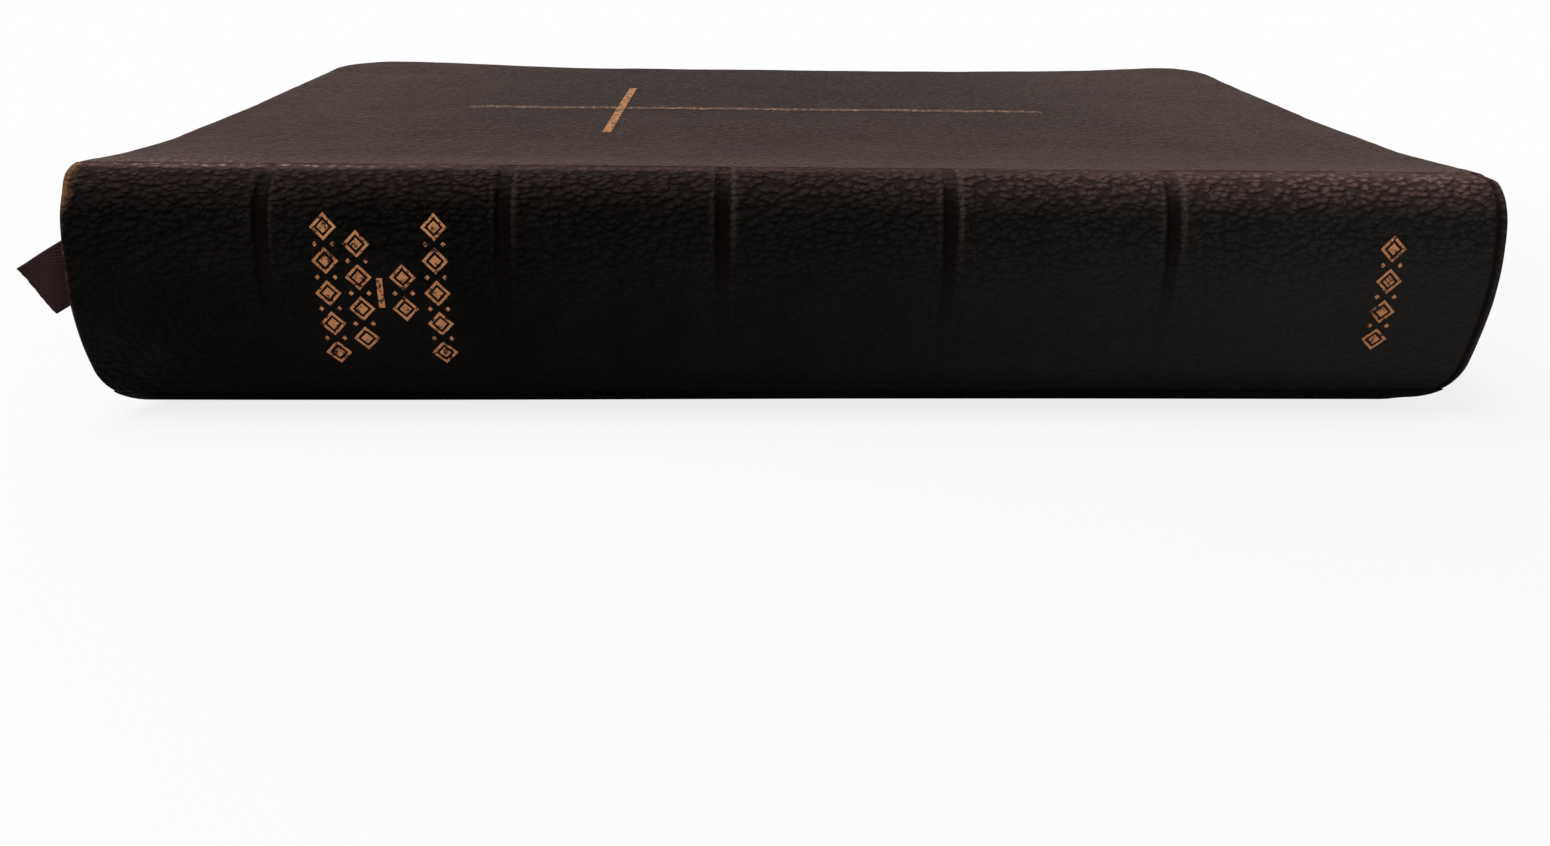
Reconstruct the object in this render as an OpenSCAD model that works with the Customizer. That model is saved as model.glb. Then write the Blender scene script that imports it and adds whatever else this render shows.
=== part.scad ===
// A small antique prayer book in full pebble-grained leather, lying on its back cover.
// X runs along the spine with the head at -X, Y runs from the spine to the fore-edge, Z is up.
// The origin is the middle of the back cover's outer face.

/* [Covers] */
// Length of the covers from head to tail
cover_l = 143; // [110:1:180]
// Width of a cover from its hinge line to the fore-edge
cover_w = 86; // [65:1:110]
// Height of the closed book at the ridge of the spine
book_h = 25.4; // [22:0.1:36]
// Radius of the round corners at the fore-edge
corner_r = 9; // [5:0.5:11]
// Height of the ridge above the flat of the front cover
ridge_rise = 1.2; // [0.4:0.1:2]
// Distance over which the front cover climbs to the ridge
ridge_run = 17; // [10:1:25]
// Thickness of the leather
leather_t = 0.8; // [0.6:0.1:1.1]
// Thickness of the leather where it is pared thin and turned in over a board
turn_in_t = 0.4; // [0.3:0.1:0.6]
// Width of the leather turned in over a board
turn_in_w = 12; // [8:1:15]
// Thickness of the flexible boards
board_t = 0.8; // [0.6:0.1:1.4]
// Distance from the hinge line to the edge of a board
board_joint = 4; // [2:0.5:7]

/* [Text block] */
// Distance that a cover stands out past the pages
square_w = 2.5; // [1.5:0.5:4]
// Radius of the pages' round corners
page_corner_r = 6.5; // [3:0.5:8]
// Thickness of an endpaper
paper_t = 0.15; // [0.1:0.05:0.3]
// Width of turned-in leather left showing round a pastedown
leather_margin = 4; // [3:0.5:7]
// Clearance between a closed cover and the pages
cover_gap = 0.15; // [0.1:0.05:0.3]

/* [Spine] */
// Distance from the hinge line to the outermost line of the spine
spine_depth = 6.5; // [5.5:0.1:7.5]
// Radius of the rounded back, measured on the leather
spine_r = 26.3; // [22:0.1:34]
// Radius of the upper edge of the spine
ridge_r = 3; // [2.4:0.1:4]
// Radius of the lower edge of the spine
shoulder_r = 5.7; // [4.5:0.1:6.5]
// Thickness of the card inlay behind the spine leather
inlay_t = 0.5; // [0.3:0.1:0.8]
// Thickness of the leather turned in at the head and tail caps
cap_turn_in_t = 0.5; // [0.3:0.1:0.6]
// Depth of the leather turned in at the head and tail caps
cap_turn_in_w = 10; // [6:1:15]
// Thickness of the paper lining on the back
lining_t = 0.3; // [0.2:0.1:0.5]
// Thickness of the lining cloth on the back
mull_t = 0.3; // [0.2:0.1:0.5]
// Distance from the cloth's ends to the ends of the pages
mull_inset = 6; // [3:1:12]
// Places of the tooled grooves across the spine, from the middle of the book
groove_x = [-52.9, -29.1, -7.5, 15.2, 37.3]; // [-70:0.1:70]
// Width of a tooled groove
groove_w = 1.7; // [1:0.1:3.5]
// Depth of a tooled groove
groove_d = 0.35; // [0.1:0.05:0.5]

/* [Headbands and ribbon] */
// Thickness of a headband's roll
headband_d = 1.6; // [1.2:0.1:2]
// Width of the ribbon marker
ribbon_w = 5.6; // [3:0.1:8]
// Thickness of the ribbon marker
ribbon_t = 0.25; // [0.2:0.05:0.35]
// Length of ribbon glued down the back
ribbon_glued = 28; // [15:1:50]
// Distance that the ribbon's long corner stands out past the covers
ribbon_out = 6.1; // [3:0.1:12]
// Slant of the ribbon's cut end
ribbon_slant = 1.9; // [0:0.1:4]
// Distance that the loose end of the ribbon droops
ribbon_droop = 2; // [0:0.1:4]
// Height of the middle of the ribbon where it is glued
ribbon_z = 15.1; // [10:0.1:17]

/* [Gilt] */
// Length of the cross
cross_l = 77.6; // [40:0.1:90]
// Width of the cross over its arms
cross_w = 37; // [20:0.5:60]
// Distance from the head of the cross to the middle of its arms
cross_arm = 20.3; // [10:0.1:30]
// Distance from the head of the covers to the head of the cross
cross_head = 29.2; // [15:0.1:45]
// Width of the tooled line of the cross
cross_line = 1.25; // [0.8:0.05:2.5]
// Depth of the tooling under the gold
gilt_d = 0.15; // [0.1:0.05:0.2]
// Thickness of the gold
gilt_t = 0.1; // [0.05:0.05:0.1]
// Size of a lozenge in the spine ornament
lozenge = 2.6; // [1:0.1:3]
// Distance between lozenges in a column
lozenge_pitch = 3.2; // [2:0.1:4]
// Distance from the head of the covers to the title ornament
title_x = 25; // [22:0.1:28]
// Distance from the tail of the covers to the tail ornament
imprint_x = 11.6; // [8:0.1:18]
// Height of the middle of both ornaments
ornament_z = 14; // [11:0.1:15]

/* [Hidden] */
$fn = 96;
cut = 1;
half_l = cover_l / 2;
page_half_l = half_l - square_w;
hinge_y = -cover_w / 2;
fore_y = cover_w / 2;
page_fore_y = fore_y - square_w;
hinge_gap = 0.2;
// Distance that the front cover draws in at head and tail where it bends up to the joint
joint_inset = 0.05;
// Cover sections: depths are measured in from the outer face of the leather
cover_t = leather_t + board_t + turn_in_t;
page_depth = cover_t + paper_t + cover_gap + paper_t;
flat_z = book_h - ridge_rise;
ramp_y = hinge_y + ridge_run;
board_y = hinge_y + board_joint;
// Rim of the covers, rolled round the boards; its trimming tool stands just proud of the faces
rim_proud = 0.02;
rim_r = cover_t / 2 + rim_proud;
// Spine section: the rounded back, its upper edge and its lower shoulder, each tangent to the next
back_y = hinge_y - spine_depth + spine_r;
back_z = book_h / 2;
ridge_z = book_h - ridge_r;
ridge_y = back_y - sqrt(pow(spine_r - ridge_r, 2) - pow(ridge_z - back_z, 2));
shoulder_y = back_y - sqrt(pow(spine_r - shoulder_r, 2) - pow(back_z - shoulder_r, 2));
ridge_a = 180 - atan2(ridge_z - back_z, back_y - ridge_y);
shoulder_a = 180 + atan2(back_z - shoulder_r, back_y - shoulder_y);
// The spine leather ends part way round the shoulder, where the back cover hinges
split_a = 215;
split_gap_a = 1.5;
cap_t = leather_t + inlay_t + cap_turn_in_t;
// Length of a cap past the inlay, where the leather is doubled on itself
cap_solid = 1.4;
glue_t = 0.05;
page_back_r = spine_r - cap_t - glue_t - lining_t - mull_t;
page_w = page_fore_y - back_y + sqrt(pow(page_back_r, 2) - pow(flat_z - page_depth - back_z, 2));
page_a = asin((back_z - page_depth) / page_back_r) - 1;
headband_r = page_back_r - ribbon_t - glue_t - headband_d / 2;
headband_a = page_a - 2;
// Number of flats along the ridge, the rounded back and the shoulder
ridge_n = 9;
back_n = 20;
shoulder_n = 3;
spine_y = hinge_y - spine_depth;
spine_reach = 4;
// Places of the title's columns from its first one, and the number of lozenges in each
title_column_x = [0, 3.1, 7.4, 10.7];
title_column_n = [5, 4, 2, 5];
title_rule_x = 5.1;
title_rule_l = 3;
title_rule_w = 0.6;
imprint_n = 4;
bead = lozenge / 5;
bead_offset = lozenge / 3;

// Height of the front cover's outer face over a line at distance y
function cover_z(y) = flat_z + ridge_rise * max(0, ramp_y - y) / ridge_run;

// Points along an arc after its first point
function arc(y, z, r, a0, a1, n) =
    [for (i = [1 : n]) let (a = a0 + (a1 - a0) * i / n) [y + r * cos(a), z + r * sin(a)]];

function reversed(points) = [for (i = [len(points) - 1 : -1 : 0]) points[i]];

// Rounded back at a depth under the leather's outer face
function back_line(d) = arc(back_y, back_z, spine_r - d, ridge_a, shoulder_a, back_n);

// Whole spine at a depth, from the front hinge round to the split on the shoulder
function spine_line(d) = concat(
    [[hinge_y - hinge_gap / 2, book_h - d], [ridge_y, book_h - d]],
    arc(ridge_y, ridge_z, ridge_r - d, 90, ridge_a, ridge_n),
    back_line(d),
    arc(shoulder_y, shoulder_r, shoulder_r - d, shoulder_a, split_a - split_gap_a, shoulder_n)
);

// Lengthwise run of a section drawn in Y and Z
module run_x(l) {
    translate([-l / 2, 0, 0]) rotate([90, 0, 90]) linear_extrude(l) children();
}

// Crosswise section of one layer of the front cover between two depths, bent at the foot of the ramp
module front_layer(y0, y1, d0, d1) {
    polygon([
        [y0, cover_z(y0) - d0], [ramp_y, flat_z - d0], [y1, flat_z - d0],
        [y1, flat_z - d1], [ramp_y, flat_z - d1], [y0, cover_z(y0) - d1]
    ]);
}

// The same layer of the back cover, which lies flat
module back_layer(y0, y1, d0, d1) {
    translate([y0, d0]) square([y1 - y0, d1 - d0]);
}

// Upright prism of a leaf or board: square at the spine and round at the fore-edge corners
module leaf(hl, y1, r) {
    linear_extrude(book_h + cut) {
        translate([-hl, spine_y]) square([2 * hl, y1 - r - spine_y]);
        translate([-hl + r, y1 - r - cut]) square([2 * (hl - r), r + cut]);
        for (s = [-1, 1]) translate([s * (hl - r), y1 - r]) circle(r);
    }
}

// Lengthwise section of a rolled cover: flat, with a round rim at head and tail
module rolled_section(hl) {
    square([2 * (hl - rim_r), 2 * rim_r], center = true);
    for (s = [-1, 1]) translate([s * (hl - rim_r), 0]) circle(rim_r);
}

// Space inside the rolled rim of a cover lying flat, with its middle plane at Z 0
module rolled_plate(y0) {
    y1 = fore_y - corner_r;
    translate([0, y1, 0]) rotate([90, 0, 0]) linear_extrude(y1 - y0) rolled_section(half_l);
    run_x(2 * (half_l - corner_r)) {
        translate([y1, -rim_r]) square([corner_r - rim_r, 2 * rim_r]);
        translate([fore_y - rim_r, 0]) circle(rim_r);
    }
    for (s = [0, 1]) mirror([s, 0, 0]) translate([half_l - corner_r, y1, 0])
        rotate_extrude(angle = 90) {
            translate([0, -rim_r]) square([corner_r - rim_r, 2 * rim_r]);
            translate([corner_r - rim_r, 0]) circle(rim_r);
        }
}

// Crosswise section of one layer of the spine between two depths
module spine_layer(d0, d1) {
    polygon(concat(spine_line(d0), reversed(spine_line(d1))));
}

// Sweep of a lengthwise section round an arc; X 0 in the section lies on the radius
module sweep(y, z, r, a0, a1) {
    translate([0, y, z]) rotate([90, 0, 90]) rotate([0, 0, a0])
        rotate_extrude(angle = a1 - a0) translate([r, 0]) children();
}

// Rod along the spine, concentric with the rounded back
module back_rod(r, l = cover_l + 2 * cut) {
    translate([-l / 2, back_y, back_z]) rotate([0, 90, 0]) cylinder(r = r, h = l);
}

// Section of the pages: rounded at the back and hollowed to match at the fore-edge
module page_section() {
    difference() {
        intersection() {
            page_body();
            union() {
                translate([back_y, back_z]) circle(page_back_r);
                translate([back_y, 0]) square([cover_w, book_h]);
            }
        }
        difference() {
            translate([back_y + page_w - page_back_r, 0]) square([cover_w, book_h]);
            difference() {
                translate([back_y + page_w - page_back_r, 0])
                    square([page_back_r, book_h]);
                translate([back_y + page_w, back_z]) circle(page_back_r);
            }
        }
    }
}

// Outline of the pages between the covers, before the back and fore-edge are rounded
module page_body() {
    polygon([
        [spine_y, page_depth], [spine_y, cover_z(spine_y) - page_depth],
        [ramp_y, flat_z - page_depth],
        [fore_y, flat_z - page_depth], [fore_y, page_depth]
    ]);
}

// Gilt line of lozenges with a bead between each two, drawn up the spine
module lozenge_column(n) {
    for (i = [0 : n - 1]) translate([0, (i - (n - 1) / 2) * lozenge_pitch])
        circle(d = lozenge, $fn = 4);
    for (i = [0 : n - 2]) translate([0, (i - (n - 2) / 2) * lozenge_pitch])
        for (s = [-1, 1]) translate([s * bead_offset, 0]) circle(d = bead, $fn = 4);
}

// Title ornament in the second panel: columns of lozenges and a short rule
module title_outline() {
    translate([title_x - half_l, ornament_z]) {
        for (i = [0 : len(title_column_n) - 1])
            translate([title_column_x[i], 0]) lozenge_column(title_column_n[i]);
        translate([title_rule_x, 0]) square([title_rule_w, title_rule_l], center = true);
    }
}

// Tail ornament in the last panel: one column
module imprint_outline() {
    translate([half_l - imprint_x, ornament_z]) lozenge_column(imprint_n);
}

// Upright outlines projected through the back of the spine
module on_spine() {
    translate([0, spine_y + spine_reach, 0]) rotate([90, 0, 0])
        linear_extrude(spine_reach + cut) children();
}

// Hollow pressed by the tool, down to the tooled depth
module spine_tooling() {
    difference() {
        on_spine() {
            title_outline();
            imprint_outline();
        }
        back_rod(spine_r - gilt_d);
    }
}

// Gold laid in the bottom of the tooling
module spine_gold() {
    intersection() {
        on_spine() children();
        difference() {
            back_rod(spine_r - gilt_d + gilt_t);
            back_rod(spine_r - gilt_d);
        }
    }
}

module cross_outline() {
    translate([cross_head - half_l, -cross_line / 2]) square([cross_l, cross_line]);
    translate([cross_head + cross_arm - half_l - cross_line / 2, -cross_w / 2])
        square([cross_line, cross_w]);
}

// Ribbon seen square on: glued along the back, then out at the head with a slanted end
module ribbon_outline() {
    edge = -page_half_l;
    tip = -half_l - ribbon_out;
    h = ribbon_w / 2;
    translate([0, ribbon_z]) polygon([
        [edge + ribbon_glued, h], [edge, h], [tip, h - ribbon_droop],
        [tip + ribbon_slant, -h - ribbon_droop / 2], [edge, -h], [edge + ribbon_glued, -h]
    ]);
}

// Ribbon curved like the back it is glued to
module ribbon_body() {
    l = cover_l + 2 * (ribbon_out + cut);
    intersection() {
        on_spine() ribbon_outline();
        difference() {
            back_rod(page_back_r, l);
            back_rod(page_back_r - ribbon_t, l + cut);
        }
    }
}

module text_block() {
    color("gold") difference() {
        intersection() {
            run_x(2 * page_half_l) page_section();
            leaf(page_half_l, page_fore_y + cut, page_corner_r + cut);
        }
        ribbon_body();
    }
}

module front_flyleaf() {
    color("cornsilk") intersection() {
        run_x(2 * page_half_l)
            front_layer(hinge_y - cut, page_fore_y, page_depth - paper_t, page_depth);
        leaf(page_half_l, page_fore_y, page_corner_r);
    }
}

module back_flyleaf() {
    color("cornsilk") intersection() {
        run_x(2 * page_half_l)
            back_layer(hinge_y - cut, page_fore_y, page_depth - paper_t, page_depth);
        leaf(page_half_l, page_fore_y, page_corner_r);
    }
}

module spine_mull() {
    color("beige") sweep(back_y, back_z, page_back_r, 180 - page_a, 180 + page_a)
        translate([0, mull_inset - page_half_l]) square([mull_t, 2 * (page_half_l - mull_inset)]);
}

module spine_lining_paper() {
    color("tan") sweep(back_y, back_z, page_back_r + mull_t, 180 - page_a, 180 + page_a)
        translate([0, -page_half_l]) square([lining_t, 2 * page_half_l]);
}

// One headband: a half-round roll that follows the back and seats on the end of the pages
module headband(side) {
    r = headband_d / 2;
    color("wheat") mirror([side, 0, 0])
        sweep(back_y, back_z, headband_r, 180 - headband_a, 180 + headband_a) {
            translate([0, page_half_l + r]) circle(r);
            translate([-r, page_half_l]) square([2 * r, r]);
        }
}

module headband_head() {
    headband(1);
}

module headband_tail() {
    headband(0);
}

module ribbon_marker() {
    color("maroon") ribbon_body();
}

module spine_inlay() {
    color("burlywood") run_x(cover_l - 2 * cap_solid)
        polygon(concat(back_line(leather_t), reversed(back_line(leather_t + inlay_t))));
}

// Spine leather: turned in over the inlay at head and tail, grooved and tooled outside
module spine_leather() {
    color([0.13, 0.1, 0.09]) difference() {
        run_x(cover_l) spine_layer(0, cap_t);
        run_x(cover_l - 2 * cap_turn_in_w) spine_layer(leather_t, cap_t + cut / 2);
        spine_inlay();
        for (x = groove_x) translate([x, 0, 0]) run_x(groove_w) spine_layer(-cut, groove_d);
        spine_tooling();
    }
}

module gilt_title_ornament() {
    color("goldenrod") spine_gold() title_outline();
}

module gilt_tail_ornament() {
    color("goldenrod") spine_gold() imprint_outline();
}

// Front board: full size between the leathers, raised inside the frame of turned-in leather
module front_board() {
    color("burlywood") {
        intersection() {
            run_x(2 * (half_l - leather_t))
                front_layer(board_y, fore_y - leather_t, leather_t, leather_t + board_t);
            leaf(half_l - leather_t, fore_y - leather_t, corner_r - leather_t);
        }
        run_x(2 * (half_l - turn_in_w))
            front_layer(board_y, fore_y - turn_in_w, leather_t + board_t, cover_t);
    }
}

// Front cover leather: thin at the joint, full over the board, with the rim rolled round it
module front_cover_leather() {
    joint_y = hinge_y + hinge_gap / 2;
    ramp_a = atan2(ridge_rise, ridge_run);
    ramp_l = ridge_run / cos(ramp_a) + cut;
    color([0.22, 0.17, 0.15]) difference() {
        union() {
            intersection() {
                run_x(cover_l) back_layer(ramp_y, fore_y, flat_z - cover_t, flat_z);
                translate([0, 0, flat_z - cover_t / 2]) rolled_plate(ramp_y - cut);
            }
            intersection() {
                run_x(cover_l) polygon([
                    [joint_y, cover_z(joint_y)], [ramp_y, flat_z],
                    [ramp_y, flat_z - cover_t], [board_y, cover_z(board_y) - cover_t],
                    [board_y, cover_z(board_y) - leather_t],
                    [joint_y, cover_z(joint_y) - leather_t]
                ]);
                translate([0, ramp_y, flat_z - cover_t / 2]) rotate([-ramp_a, 0, 0])
                    translate([0, cut, 0]) rotate([90, 0, 0])
                        linear_extrude(ramp_l + cut) rolled_section(half_l - joint_inset);
            }
        }
        front_board();
        translate([0, 0, flat_z - gilt_d]) linear_extrude(cut) cross_outline();
    }
}

module front_pastedown() {
    hl = half_l - leather_margin;
    color("cornsilk") intersection() {
        run_x(2 * hl) front_layer(board_y, fore_y, cover_t, cover_t + paper_t);
        leaf(hl, fore_y - leather_margin, corner_r - leather_margin);
    }
}

module gilt_cross() {
    color("goldenrod") translate([0, 0, flat_z - gilt_d]) linear_extrude(gilt_t) cross_outline();
}

module back_board() {
    color("burlywood") {
        intersection() {
            run_x(2 * (half_l - leather_t))
                back_layer(board_y, fore_y - leather_t, leather_t, leather_t + board_t);
            leaf(half_l - leather_t, fore_y - leather_t, corner_r - leather_t);
        }
        run_x(2 * (half_l - turn_in_w))
            back_layer(board_y, fore_y - turn_in_w, leather_t + board_t, cover_t);
    }
}

// Back cover leather: the flat cover and the strip that curls up round the lower shoulder
module back_cover_leather() {
    color([0.22, 0.17, 0.15]) {
        difference() {
            intersection() {
                run_x(cover_l) {
                    back_layer(shoulder_y, fore_y, 0, leather_t);
                    back_layer(board_y, fore_y, leather_t, cover_t);
                }
                translate([0, 0, cover_t / 2]) rolled_plate(shoulder_y - cut);
            }
            back_board();
        }
        sweep(shoulder_y, shoulder_r, shoulder_r, split_a + split_gap_a, 270)
            translate([-leather_t, -half_l + leather_t]) square([leather_t, cover_l - 2 * leather_t]);
    }
}

module back_pastedown() {
    hl = half_l - leather_margin;
    color("cornsilk") intersection() {
        run_x(2 * hl) back_layer(board_y, fore_y, cover_t, cover_t + paper_t);
        leaf(hl, fore_y - leather_margin, corner_r - leather_margin);
    }
}

text_block();
front_flyleaf();
back_flyleaf();
spine_mull();
spine_lining_paper();
headband_head();
headband_tail();
ribbon_marker();
spine_inlay();
spine_leather();
gilt_title_ornament();
gilt_tail_ornament();
front_board();
front_cover_leather();
front_pastedown();
gilt_cross();
back_board();
back_cover_leather();
back_pastedown();
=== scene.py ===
import math
import bpy
import bmesh
from mathutils import Matrix, Vector, noise


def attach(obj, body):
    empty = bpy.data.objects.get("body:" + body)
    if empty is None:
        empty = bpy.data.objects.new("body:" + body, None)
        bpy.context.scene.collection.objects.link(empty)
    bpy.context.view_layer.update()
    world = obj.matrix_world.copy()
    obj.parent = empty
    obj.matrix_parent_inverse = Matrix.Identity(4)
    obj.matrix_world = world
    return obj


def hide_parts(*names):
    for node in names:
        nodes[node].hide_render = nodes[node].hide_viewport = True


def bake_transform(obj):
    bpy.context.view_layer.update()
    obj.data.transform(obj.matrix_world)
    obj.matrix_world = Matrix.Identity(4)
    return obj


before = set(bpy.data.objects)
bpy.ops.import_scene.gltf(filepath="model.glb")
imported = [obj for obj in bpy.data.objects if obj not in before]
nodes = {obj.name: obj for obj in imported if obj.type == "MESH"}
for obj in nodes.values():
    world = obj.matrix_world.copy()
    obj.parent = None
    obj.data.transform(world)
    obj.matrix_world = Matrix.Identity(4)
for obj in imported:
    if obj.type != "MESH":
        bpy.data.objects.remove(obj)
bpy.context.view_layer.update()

# Camera.
# A close, wide view from above the spine, turned a little to the tail.
CAMERA = Vector((-0.00552, -0.15934, 0.04917))
YAW = math.radians(1.78)
PITCH = math.radians(24.14)
ROLL = math.radians(0.83)
FOCAL_PX = 1144.5
FRAME_PX = 1550
SENSOR = 36.0

forward = Vector((math.sin(YAW) * math.cos(PITCH), math.cos(YAW) * math.cos(PITCH), -math.sin(PITCH)))
level = Vector((math.cos(YAW), -math.sin(YAW), 0))
upright = level.cross(forward)
right = math.cos(ROLL) * level + math.sin(ROLL) * upright
up = math.cos(ROLL) * upright - math.sin(ROLL) * level
camera_data = bpy.data.cameras.new("camera")
camera_data.lens = FOCAL_PX / FRAME_PX * SENSOR
camera_data.sensor_width = SENSOR
camera_data.clip_start = 0.005
camera = bpy.data.objects.new("camera", camera_data)
camera.matrix_world = Matrix.Translation(CAMERA) @ Matrix((right, up, -forward)).transposed().to_4x4()
bpy.context.collection.objects.link(camera)
bpy.context.scene.camera = camera
bpy.context.scene.view_settings.view_transform = "Standard"


# Text block.
# Sewn sections of thin leaves, trimmed, rounded and gilt on all three edges over a red stain.
# The gilding is rubbed, and the lines between the leaves show through it.
HALF_L = 0.0715
HINGE_Y = -0.043
FORE_Y = 0.043
BOOK_H = 0.0254
FLAT_Z = 0.02442


def socketed(tree, kind, sockets=None, **settings):
    """A shader node with its settings, and its inputs set or linked."""
    made = tree.nodes.new(kind)
    for key, value in settings.items():
        setattr(made, key, value)
    for key, value in (sockets or {}).items():
        if isinstance(value, bpy.types.NodeSocket):
            tree.links.new(value, made.inputs[key])
        else:
            made.inputs[key].default_value = value
    return made


def finish_named(name, **constants):
    """A material with its node tree and its Principled BSDF, whose constant sockets are set."""
    made = bpy.data.materials.new(name)
    made.use_nodes = True
    shader = made.node_tree.nodes["Principled BSDF"]
    for key, value in constants.items():
        shader.inputs[key.replace("_", " ")].default_value = value
    return made, made.node_tree, shader


def wear_finish(name, material):
    """Puts a material on a CAD node."""
    nodes[name].data.materials.clear()
    nodes[name].data.materials.append(material)


def grained(tree, scale, detail=2.0, rough=0.5, stretch=(1, 1, 1), warp=0.0):
    """Noise over the piece's own coordinates, scale in lumps per metre."""
    place = socketed(tree, "ShaderNodeTexCoord")
    mapped = socketed(tree, "ShaderNodeMapping", {"Vector": place.outputs["Object"], "Scale": stretch})
    return socketed(tree, "ShaderNodeTexNoise", {
        "Vector": mapped.outputs["Vector"], "Scale": scale, "Detail": detail,
        "Roughness": rough, "Distortion": warp}).outputs["Fac"]


def ramped(tree, value, low, high, start=0.0, end=1.0):
    """A value's range low to high taken smoothly to start to end."""
    return socketed(tree, "ShaderNodeMapRange", {
        "Value": value, "From Min": low, "From Max": high, "To Min": start, "To Max": end},
        interpolation_type="SMOOTHSTEP").outputs["Result"]


def mixed(tree, factor, first, second):
    """Two colours mixed by a mask."""
    made = tree.nodes.new("ShaderNodeMix")
    made.data_type = "RGBA"
    for socket, value in ((made.inputs[0], factor), (made.inputs[6], first), (made.inputs[7], second)):
        if isinstance(value, bpy.types.NodeSocket):
            tree.links.new(value, socket)
        else:
            socket.default_value = value
    return made.outputs[2]


def product(tree, first, second, operation="MULTIPLY"):
    """Arithmetic on two values."""
    return socketed(tree, "ShaderNodeMath", {0: first, 1: second}, operation=operation).outputs[0]


def embossed(tree, shader, height, strength, distance):
    """Relief in a material's surface, from a height taken times a distance in metres."""
    bump = socketed(tree, "ShaderNodeBump", {"Height": height, "Strength": strength, "Distance": distance})
    tree.links.new(bump.outputs["Normal"], shader.inputs["Normal"])


gilt_edge, tree, shader = finish_named("gilt_page_edges")
leaf_lines = grained(tree, 900, 3.0, 0.6, (0.02, 0.02, 7.0))
rubbed = ramped(tree, grained(tree, 260, 7.0, 0.7, (0.3, 0.3, 1.6)), 0.48, 0.78)
tone = mixed(tree, grained(tree, 60, 3.0), (0.4, 0.25, 0.1, 1), (0.56, 0.38, 0.17, 1))
gold = mixed(tree, ramped(tree, leaf_lines, 0.35, 0.65, 0.0, 0.7), tone, (0.27, 0.15, 0.06, 1))
tree.links.new(mixed(tree, rubbed, gold, (0.24, 0.11, 0.055, 1)), shader.inputs["Base Color"])
tree.links.new(ramped(tree, rubbed, 0.0, 1.0, 0.75, 0.1), shader.inputs["Metallic"])
tree.links.new(ramped(tree, rubbed, 0.0, 1.0, 0.4, 0.65), shader.inputs["Roughness"])
embossed(tree, shader, leaf_lines, 0.5, 0.0002)
wear_finish("text_block", gilt_edge)


# Flyleaves and pastedowns.
# Cream endpapers, toned and lightly foxed. The flyleaves are pasted to the first and last leaf.
endpaper, tree, shader = finish_named("endpaper", Roughness=0.85)
toned = mixed(tree, grained(tree, 35, 4.0), (0.6, 0.49, 0.33, 1), (0.72, 0.64, 0.49, 1))
fox = ramped(tree, grained(tree, 190, 2.0), 0.68, 0.76, 0.0, 0.6)
tree.links.new(mixed(tree, fox, toned, (0.36, 0.2, 0.09, 1)), shader.inputs["Base Color"])
embossed(tree, shader, grained(tree, 3500, 4.0), 0.25, 0.00005)
wear_finish("front_flyleaf", endpaper)
wear_finish("back_flyleaf", endpaper)
wear_finish("back_pastedown", endpaper)


# Lining of the back.
# Open cloth set in glue over the sewing, then brown paper, then the card that stiffens the spine.
def new_group(name, inputs, outputs):
    """A shader node group with named sockets, and its input and output nodes."""
    group = bpy.data.node_groups.new(name, "ShaderNodeTree")
    for way, sockets in (("INPUT", inputs), ("OUTPUT", outputs)):
        for socket, kind in sockets:
            group.interface.new_socket(socket, in_out=way, socket_type="NodeSocket" + kind)
    return group, group.nodes.new("NodeGroupInput"), group.nodes.new("NodeGroupOutput")


def fibre_group():
    """Fibres lying one way. Puts out a colour between dark and light, and a height."""
    group, given, out = new_group(
        "fibres", (("Dark", "Color"), ("Light", "Color"), ("Count", "Float"), ("Lay", "Vector")),
        (("Color", "Color"), ("Height", "Float")))
    threads = grained(group, given.outputs["Count"], 4.0, 0.6, given.outputs["Lay"])
    group.links.new(mixed(group, threads, given.outputs["Dark"], given.outputs["Light"]), out.inputs["Color"])
    group.links.new(threads, out.inputs["Height"])
    return group


fibres_laid = fibre_group()


def fibrous(name, dark, light, count, lay):
    """Matt card, paper or cloth."""
    made, tree, shader = finish_named(name, Roughness=0.9)
    threads = socketed(tree, "ShaderNodeGroup", {"Dark": dark, "Light": light, "Count": count, "Lay": lay},
                       node_tree=fibres_laid)
    tree.links.new(threads.outputs["Color"], shader.inputs["Base Color"])
    embossed(tree, shader, threads.outputs["Height"], 0.4, 0.0001)
    return made


lining_cloth = fibrous("lining_cloth", (0.4, 0.33, 0.22, 1), (0.66, 0.58, 0.43, 1), 1800, (1, 0.2, 1))
lining_paper = fibrous("lining_paper", (0.2, 0.12, 0.06, 1), (0.34, 0.23, 0.13, 1), 900, (1, 1, 0.4))
card = fibrous("card", (0.16, 0.11, 0.07, 1), (0.3, 0.22, 0.15, 1), 1200, (0.6, 1, 1))
wear_finish("spine_mull", lining_cloth)
wear_finish("spine_lining_paper", lining_paper)
wear_finish("spine_inlay", card)
wear_finish("back_board", card)


# Headbands.
# Woven bands with a corded edge, in two dulled colours, glued to each end of the back.
STRIPE = 0.0011
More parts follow.
